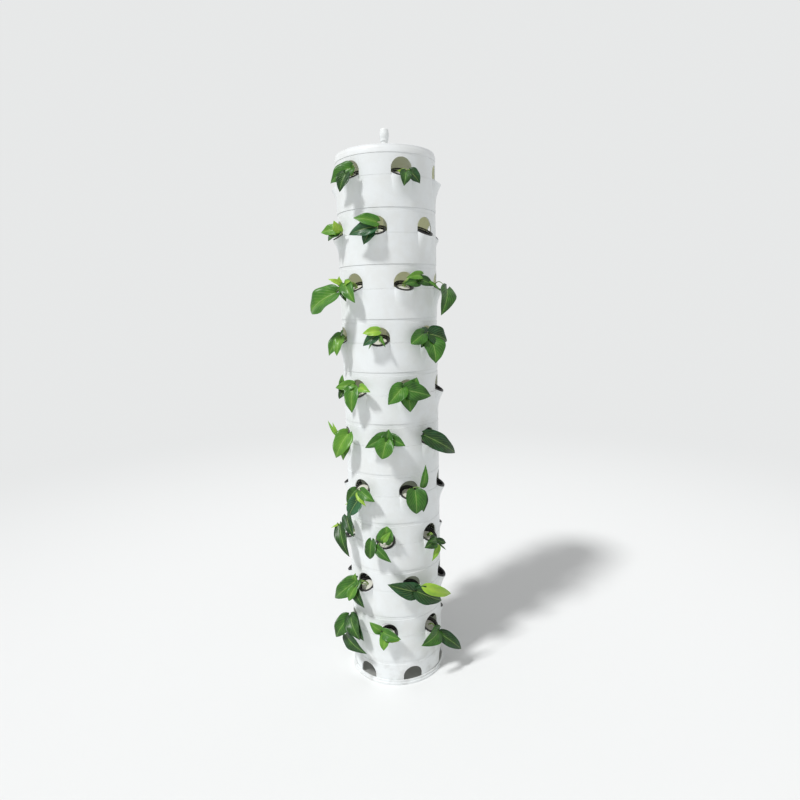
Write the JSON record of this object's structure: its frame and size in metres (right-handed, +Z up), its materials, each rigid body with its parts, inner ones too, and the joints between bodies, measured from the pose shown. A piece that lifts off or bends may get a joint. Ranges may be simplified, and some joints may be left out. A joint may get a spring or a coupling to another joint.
{
  "type": "vertical planter tower",
  "caption": "Free-standing planter tower of stacked, keyed rings with sloping side mouths for net pots, on a base tray, with a riser pipe, drip tray, lid and end cap.",
  "frame": {"origin": "middle of the base tray's underside", "axes": "+Z up the tower's axis; -Y faces the front of the picture; +X to its right"},
  "size_m": [0.425, 0.382, 1.7322],
  "materials": {
    "white_plastic": "satin moulded polypropylene",
    "leaf": "waxy leaf",
    "black_plastic": "matt moulded net pot",
    "sponge": "open foam"
  },
  "bodies": {
    "tower": {"base_tray": "white_plastic", "arch_ring_01": "white_plastic", "arch_ring_02": "white_plastic", "arch_ring_03": "white_plastic", "arch_ring_04": "white_plastic", "arch_ring_05": "white_plastic", "arch_ring_06": "white_plastic", "arch_ring_07": "white_plastic", "arch_ring_08": "white_plastic", "arch_ring_09": "white_plastic", "arch_ring_10": "white_plastic", "arch_ring_11": "white_plastic", "scoop_ring_01": "white_plastic", "scoop_ring_02": "white_plastic", "scoop_ring_03": "white_plastic", "scoop_ring_04": "white_plastic", "scoop_ring_05": "white_plastic", "scoop_ring_06": "white_plastic", "scoop_ring_07": "white_plastic", "scoop_ring_08": "white_plastic", "scoop_ring_09": "white_plastic", "scoop_ring_10": "white_plastic", "riser_pipe": "white_plastic", "drip_tray": "white_plastic", "planted_pot_07_3": "leaf", "planted_pot_07_4": "leaf", "planted_pot_08_4": "leaf", "planted_pot_08_5": "leaf", "planted_pot_09_3": "leaf", "planted_pot_09_4": "leaf", "planted_pot_10_4": "leaf", "planted_pot_10_5": "leaf"},
    "lid": {"lid": "white_plastic"},
    "end_cap": {"end_cap": "white_plastic"},
    "planted_pot_01_6": {"planted_pot_01_6": "leaf"},
    "planted_pot_01_1": {"planted_pot_01_1": "leaf"},
    "planted_pot_02_6": {"planted_pot_02_6": "leaf"},
    "planted_pot_02_1": {"planted_pot_02_1": "leaf"},
    "planted_pot_03_6": {"planted_pot_03_6": "leaf"},
    "planted_pot_03_1": {"planted_pot_03_1": "leaf"},
    "planted_pot_03_2": {"planted_pot_03_2": "leaf"},
    "planted_pot_04_6": {"planted_pot_04_6": "leaf"},
    "planted_pot_04_1": {"planted_pot_04_1": "leaf"},
    "planted_pot_04_2": {"planted_pot_04_2": "leaf"},
    "planted_pot_05_6": {"planted_pot_05_6": "leaf"},
    "planted_pot_05_1": {"planted_pot_05_1": "leaf"},
    "planted_pot_06_6": {"planted_pot_06_6": "leaf"},
    "planted_pot_06_1": {"planted_pot_06_1": "leaf"},
    "planted_pot_06_2": {"planted_pot_06_2": "leaf"},
    "planted_pot_06_4": {"planted_pot_06_4": "leaf"},
    "planted_pot_07_6": {"planted_pot_07_6": "leaf"},
    "planted_pot_07_1": {"planted_pot_07_1": "leaf"},
    "planted_pot_08_6": {"planted_pot_08_6": "leaf"},
    "planted_pot_08_1": {"planted_pot_08_1": "leaf"},
    "planted_pot_08_2": {"planted_pot_08_2": "leaf"},
    "planted_pot_09_6": {"planted_pot_09_6": "leaf"},
    "planted_pot_09_1": {"planted_pot_09_1": "leaf"},
    "planted_pot_10_6": {"planted_pot_10_6": "leaf"},
    "planted_pot_10_1": {"planted_pot_10_1": "leaf"},
    "planted_pot_10_2": {"planted_pot_10_2": "leaf"}
  },
  "joints": [
    {"name": "lid_lift", "type": "slide", "parent": "tower", "child": "lid", "axis": [0, 0, 1], "range_m": [0, 0.045]},
    {"name": "cap_pull", "type": "slide", "parent": "tower", "child": "end_cap", "axis": [0, 0, 1], "range_m": [0, 0.03]},
    {"name": "pot_01_6_lift", "type": "slide", "parent": "tower", "child": "planted_pot_01_6", "axis": [-0.3391, -0.3675, 0.866], "range_m": [0, 0.014]},
    {"name": "pot_01_1_lift", "type": "slide", "parent": "tower", "child": "planted_pot_01_1", "axis": [0.1487, -0.4774, 0.866], "range_m": [0, 0.014]},
    {"name": "pot_02_6_lift", "type": "slide", "parent": "tower", "child": "planted_pot_02_6", "axis": [-0.4774, -0.1487, 0.866], "range_m": [0, 0.014]},
    {"name": "pot_02_1_lift", "type": "slide", "parent": "tower", "child": "planted_pot_02_1", "axis": [-0.1099, -0.4878, 0.866], "range_m": [0, 0.014]},
    {"name": "pot_03_6_lift", "type": "slide", "parent": "tower", "child": "planted_pot_03_6", "axis": [-0.3391, -0.3675, 0.866], "range_m": [0, 0.014]},
    {"name": "pot_03_1_lift", "type": "slide", "parent": "tower", "child": "planted_pot_03_1", "axis": [0.1487, -0.4774, 0.866], "range_m": [0, 0.014]},
    {"name": "pot_03_2_lift", "type": "slide", "parent": "tower", "child": "planted_pot_03_2", "axis": [0.4878, -0.1099, 0.866], "range_m": [0, 0.014]},
    {"name": "pot_04_6_lift", "type": "slide", "parent": "tower", "child": "planted_pot_04_6", "axis": [-0.4774, -0.1487, 0.866], "range_m": [0, 0.014]},
    {"name": "pot_04_1_lift", "type": "slide", "parent": "tower", "child": "planted_pot_04_1", "axis": [-0.1099, -0.4878, 0.866], "range_m": [0, 0.014]},
    {"name": "pot_04_2_lift", "type": "slide", "parent": "tower", "child": "planted_pot_04_2", "axis": [0.3675, -0.3391, 0.866], "range_m": [0, 0.014]},
    {"name": "pot_05_6_lift", "type": "slide", "parent": "tower", "child": "planted_pot_05_6", "axis": [-0.3391, -0.3675, 0.866], "range_m": [0, 0.014]},
    {"name": "pot_05_1_lift", "type": "slide", "parent": "tower", "child": "planted_pot_05_1", "axis": [0.1487, -0.4774, 0.866], "range_m": [0, 0.014]},
    {"name": "pot_06_6_lift", "type": "slide", "parent": "tower", "child": "planted_pot_06_6", "axis": [-0.4774, -0.1487, 0.866], "range_m": [0, 0.014]},
    {"name": "pot_06_1_lift", "type": "slide", "parent": "tower", "child": "planted_pot_06_1", "axis": [-0.1099, -0.4878, 0.866], "range_m": [0, 0.014]},
    {"name": "pot_06_2_lift", "type": "slide", "parent": "tower", "child": "planted_pot_06_2", "axis": [0.3675, -0.3391, 0.866], "range_m": [0, 0.014]},
    {"name": "pot_06_4_lift", "type": "slide", "parent": "tower", "child": "planted_pot_06_4", "axis": [0.1099, 0.4878, 0.866], "range_m": [0, 0.014]},
    {"name": "pot_07_6_lift", "type": "slide", "parent": "tower", "child": "planted_pot_07_6", "axis": [-0.3391, -0.3675, 0.866], "range_m": [0, 0.014]},
    {"name": "pot_07_1_lift", "type": "slide", "parent": "tower", "child": "planted_pot_07_1", "axis": [0.1487, -0.4774, 0.866], "range_m": [0, 0.014]},
    {"name": "pot_08_6_lift", "type": "slide", "parent": "tower", "child": "planted_pot_08_6", "axis": [-0.4774, -0.1487, 0.866], "range_m": [0, 0.014]},
    {"name": "pot_08_1_lift", "type": "slide", "parent": "tower", "child": "planted_pot_08_1", "axis": [-0.1099, -0.4878, 0.866], "range_m": [0, 0.014]},
    {"name": "pot_08_2_lift", "type": "slide", "parent": "tower", "child": "planted_pot_08_2", "axis": [0.3675, -0.3391, 0.866], "range_m": [0, 0.014]},
    {"name": "pot_09_6_lift", "type": "slide", "parent": "tower", "child": "planted_pot_09_6", "axis": [-0.3391, -0.3675, 0.866], "range_m": [0, 0.014]},
    {"name": "pot_09_1_lift", "type": "slide", "parent": "tower", "child": "planted_pot_09_1", "axis": [0.1487, -0.4774, 0.866], "range_m": [0, 0.014]},
    {"name": "pot_10_6_lift", "type": "slide", "parent": "tower", "child": "planted_pot_10_6", "axis": [-0.4774, -0.1487, 0.866], "range_m": [0, 0.014]},
    {"name": "pot_10_1_lift", "type": "slide", "parent": "tower", "child": "planted_pot_10_1", "axis": [-0.1099, -0.4878, 0.866], "range_m": [0, 0.014]},
    {"name": "pot_10_2_lift", "type": "slide", "parent": "tower", "child": "planted_pot_10_2", "axis": [0.3675, -0.3391, 0.866], "range_m": [0, 0.014]}
  ]
}
